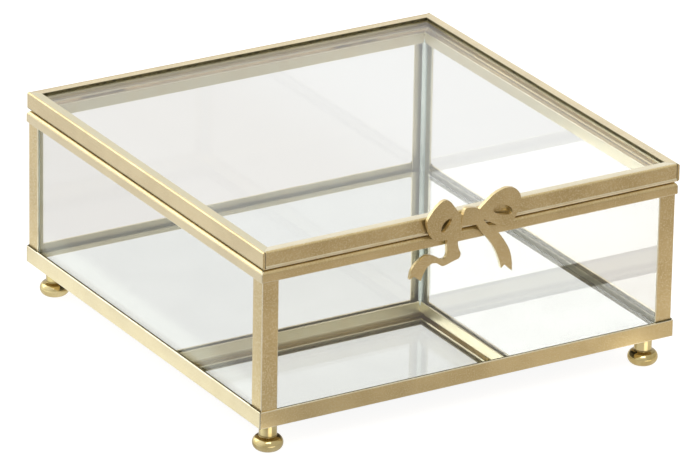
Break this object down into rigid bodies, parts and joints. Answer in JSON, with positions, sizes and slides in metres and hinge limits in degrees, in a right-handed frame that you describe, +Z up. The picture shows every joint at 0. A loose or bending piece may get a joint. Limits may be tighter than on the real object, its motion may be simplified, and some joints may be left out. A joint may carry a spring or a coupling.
{
  "type": "jewelry box",
  "caption": "Low square glass jewelry box in a brass strip frame, with a mirror floor, turned feet, and a hinged glass lid with a flat ribbon bow on its front.",
  "frame": {"origin": "on the floor under the middle of the box, level with the flat bottoms of the feet", "axes": "+X to the right as seen from the front, -Y towards the front with the bow, +Z up"},
  "size_m": [0.1504, 0.1553, 0.0743],
  "materials": {
    "satin_brass": "satin, lightly brushed champagne brass",
    "polished_brass": "polished",
    "clear_glass": "clear, polished edges",
    "mirror": "silvered glass",
    "felt": "short felt nap"
  },
  "bodies": {
    "base": {"bottom_rail_front": "satin_brass", "bottom_rail_right": "satin_brass", "bottom_rail_back": "satin_brass", "bottom_rail_left": "satin_brass", "corner_post_front_left": "satin_brass", "corner_post_front_right": "satin_brass", "corner_post_back_right": "satin_brass", "corner_post_back_left": "satin_brass", "top_rail_front": "satin_brass", "top_rail_right": "satin_brass", "top_rail_back": "satin_brass", "top_rail_left": "satin_brass", "glass_wall_front": "clear_glass", "glass_wall_right": "clear_glass", "glass_wall_back": "clear_glass", "glass_wall_left": "clear_glass", "mirror_floor": "mirror", "felt_underside": "felt", "foot_front_left": "polished_brass", "foot_front_right": "polished_brass", "foot_back_right": "polished_brass", "foot_back_left": "polished_brass", "hinge_base_leaf_left": "satin_brass", "hinge_base_leaf_right": "satin_brass", "hinge_pin_left": "polished_brass", "hinge_pin_right": "polished_brass"},
    "lid": {"lid_rail_front": "satin_brass", "lid_rail_right": "satin_brass", "lid_rail_back": "satin_brass", "lid_rail_left": "satin_brass", "lid_glass": "clear_glass", "hinge_lid_leaf_left": "satin_brass", "hinge_lid_leaf_right": "satin_brass", "bow": "satin_brass", "bow_spacer": "satin_brass"}
  },
  "joints": [
    {"name": "lid_hinge", "type": "hinge", "parent": "base", "child": "lid", "pos_m": [0, 0.07635, 0.0627], "axis": [-1, 0, 0], "range_deg": [0, 105]}
  ]
}
